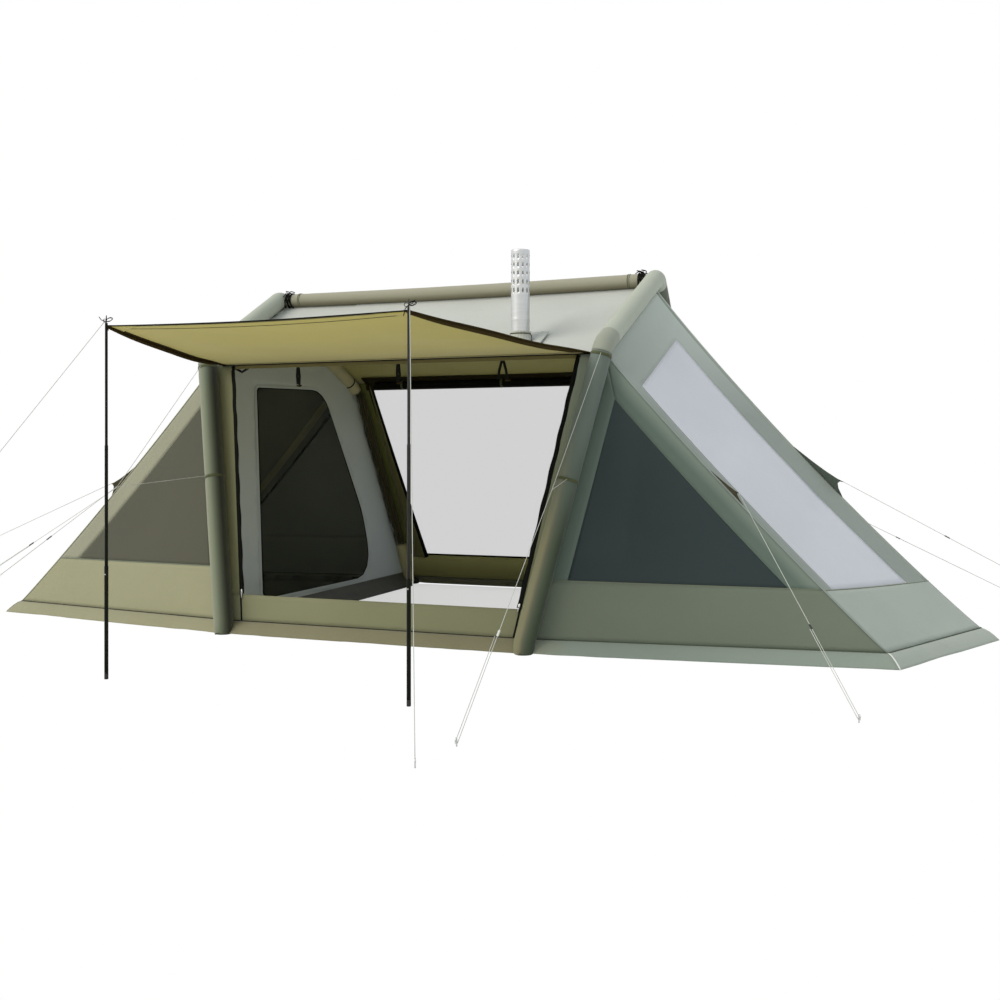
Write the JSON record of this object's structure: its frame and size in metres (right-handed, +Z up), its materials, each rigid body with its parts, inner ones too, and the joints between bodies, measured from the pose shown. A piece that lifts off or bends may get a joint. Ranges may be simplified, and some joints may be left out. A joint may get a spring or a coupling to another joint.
{
  "type": "inflatable tent",
  "caption": "Tunnel tent on two inflated arches with an inflated ridge beam, sloping wings, a propped front awning and a roof flue.",
  "frame": {"origin": "on the ground, under the middle of the tent and its awning", "axes": "+X along the ridge towards the right wing, +Y towards the back, +Z up; the doorway and awning face -Y"},
  "size_m": [6.9176, 4.851, 2.283],
  "materials": {
    "beam_fabric": "woven polyester oxford, grey-green",
    "bladder_film": "airtight polyurethane film",
    "valve_plastic": "moulded black",
    "window_film": "translucent white film",
    "roof_fabric": "woven polyester oxford, pale grey-green",
    "wall_fabric": "woven polyester oxford, dark grey-green",
    "jamb_fabric": "woven polyester oxford, olive",
    "insect_mesh": "knitted insect mesh, charcoal",
    "inner_fabric": "breathable inner fabric, light grey",
    "floor_fabric": "coated groundsheet, dark grey",
    "awning_fabric": "woven polyester oxford, khaki",
    "door_fabric": "rolled door fabric, black",
    "slider_metal": "die-cast zinc",
    "zip_tape": "black zip tape and coil",
    "pole_lacquer": "dark green lacquer on steel tube",
    "pole_metal": "metallic grey tube",
    "jack_fabric": "heat-proof glass-fibre cloth",
    "flue_steel": "stainless steel",
    "line_cord": "braided cord, pale grey",
    "adjuster_plastic": "moulded black",
    "peg_steel": "bent steel rod"
  },
  "bodies": {
    "tent": {"arch_bladder_left": "bladder_film", "arch_bladder_right": "bladder_film", "arch_sleeve_left": "beam_fabric", "arch_sleeve_right": "beam_fabric", "back_door_roll": "door_fabric", "back_screen": "insect_mesh", "back_wall": "jamb_fabric", "front_wall": "jamb_fabric", "inflation_valve": "valve_plastic", "line_hip_back_right": "line_cord", "line_hip_left": "line_cord", "line_hip_right": "line_cord", "line_knee_left": "line_cord", "line_knee_right": "line_cord", "line_leg_left": "line_cord", "line_leg_right": "line_cord", "line_pole_left": "line_cord", "line_pole_right": "line_cord", "line_ridge_right": "line_cord", "mesh_window_left": "insect_mesh", "mesh_window_right": "insect_mesh", "partition": "inner_fabric", "peg_hip_right": "peg_steel", "peg_knee_right": "peg_steel", "peg_pole_right": "peg_steel", "pole_lower_left": "pole_lacquer", "pole_lower_right": "pole_lacquer", "ridge_bladder": "bladder_film", "ridge_sleeve": "beam_fabric", "roof_back": "roof_fabric", "roof_front": "roof_fabric", "roof_window_left": "window_film", "roof_window_right": "window_film", "skirt": "wall_fabric", "stove_jack": "jack_fabric", "wing_floor_left": "floor_fabric", "wing_roof_back_left": "roof_fabric", "wing_roof_back_right": "roof_fabric", "wing_roof_front_left": "roof_fabric", "wing_roof_front_right": "roof_fabric", "wing_wall_back_left": "wall_fabric", "wing_wall_back_right": "wall_fabric", "wing_wall_front_left": "wall_fabric", "wing_wall_front_right": "wall_fabric", "zip_left": "zip_tape", "zip_right": "zip_tape"},
    "awning_flap": {"awning": "awning_fabric"},
    "mesh_door": {"partition_door": "insect_mesh"},
    "zip_slider_left": {"zip_slider_left": "slider_metal"},
    "zip_slider_right": {"zip_slider_right": "slider_metal"},
    "pole_upper_left": {"pole_upper_left": "pole_metal"},
    "pole_upper_right": {"pole_upper_right": "pole_metal"},
    "flue": {"flue_pipe": "flue_steel"},
    "cap": {"valve_cap": "valve_plastic"},
    "adjuster_hip_back_right": {"adjuster_hip_back_right": "adjuster_plastic"},
    "adjuster_hip_right": {"adjuster_hip_right": "adjuster_plastic"},
    "adjuster_knee_left": {"adjuster_knee_left": "adjuster_plastic"},
    "adjuster_knee_right": {"adjuster_knee_right": "adjuster_plastic"},
    "adjuster_leg_left": {"adjuster_leg_left": "adjuster_plastic"},
    "adjuster_ridge_right": {"adjuster_ridge_right": "adjuster_plastic"}
  },
  "joints": [
    {"name": "awning_hinge", "type": "hinge", "parent": "tent", "child": "awning_flap", "pos_m": [0, -0.32662, 1.64167], "axis": [1, 0, 0], "range_deg": [0, 70]},
    {"name": "mesh_door_hinge", "type": "hinge", "parent": "tent", "child": "mesh_door", "pos_m": [-0.96642, -0.23765, 0.14], "axis": [0.1928, -0.246, -0.9499], "range_deg": [0, 75]},
    {"name": "zip_left_slide", "type": "slide", "parent": "tent", "child": "zip_slider_left", "axis": [-0.1736, 0.1972, 0.9649], "range_m": [0, 1.397]},
    {"name": "pole_left_slide", "type": "slide", "parent": "tent", "child": "pole_upper_left", "axis": [0, 0, -1], "range_m": [0, 0.45]},
    {"name": "zip_right_slide", "type": "slide", "parent": "tent", "child": "zip_slider_right", "axis": [0.1736, 0.1972, 0.9649], "range_m": [0, 1.397]},
    {"name": "pole_right_slide", "type": "slide", "parent": "tent", "child": "pole_upper_right", "axis": [0, 0, -1], "range_m": [0, 0.45]},
    {"name": "flue_slide", "type": "slide", "parent": "tent", "child": "flue", "axis": [0, 0, 1], "range_m": [0, 0.6]},
    {"name": "valve_cap_hinge", "type": "hinge", "parent": "tent", "child": "cap", "pos_m": [0.94041, 1.89481, 0.335], "axis": [0, -1, 0], "range_deg": [0, 150]},
    {"name": "adjuster_hip_back_right_slide", "type": "slide", "parent": "tent", "child": "adjuster_hip_back_right", "axis": [-0.8678, -0.2244, 0.4434], "range_m": [0, 0.2]},
    {"name": "adjuster_hip_right_slide", "type": "slide", "parent": "tent", "child": "adjuster_hip_right", "axis": [-0.3943, 0.7604, 0.5161], "range_m": [0, 0.2]},
    {"name": "adjuster_knee_left_slide", "type": "slide", "parent": "tent", "child": "adjuster_knee_left", "axis": [0.6619, 0.4189, 0.6216], "range_m": [0, 0.2]},
    {"name": "adjuster_knee_right_slide", "type": "slide", "parent": "tent", "child": "adjuster_knee_right", "axis": [-0.0061, 0.7966, 0.6044], "range_m": [0, 0.2]},
    {"name": "adjuster_leg_left_slide", "type": "slide", "parent": "tent", "child": "adjuster_leg_left", "axis": [0.8582, 0.0824, 0.5067], "range_m": [0, 0.2]},
    {"name": "adjuster_ridge_right_slide", "type": "slide", "parent": "tent", "child": "adjuster_ridge_right", "axis": [-0.8756, -0.0366, 0.4817], "range_m": [0, 0.2]}
  ]
}
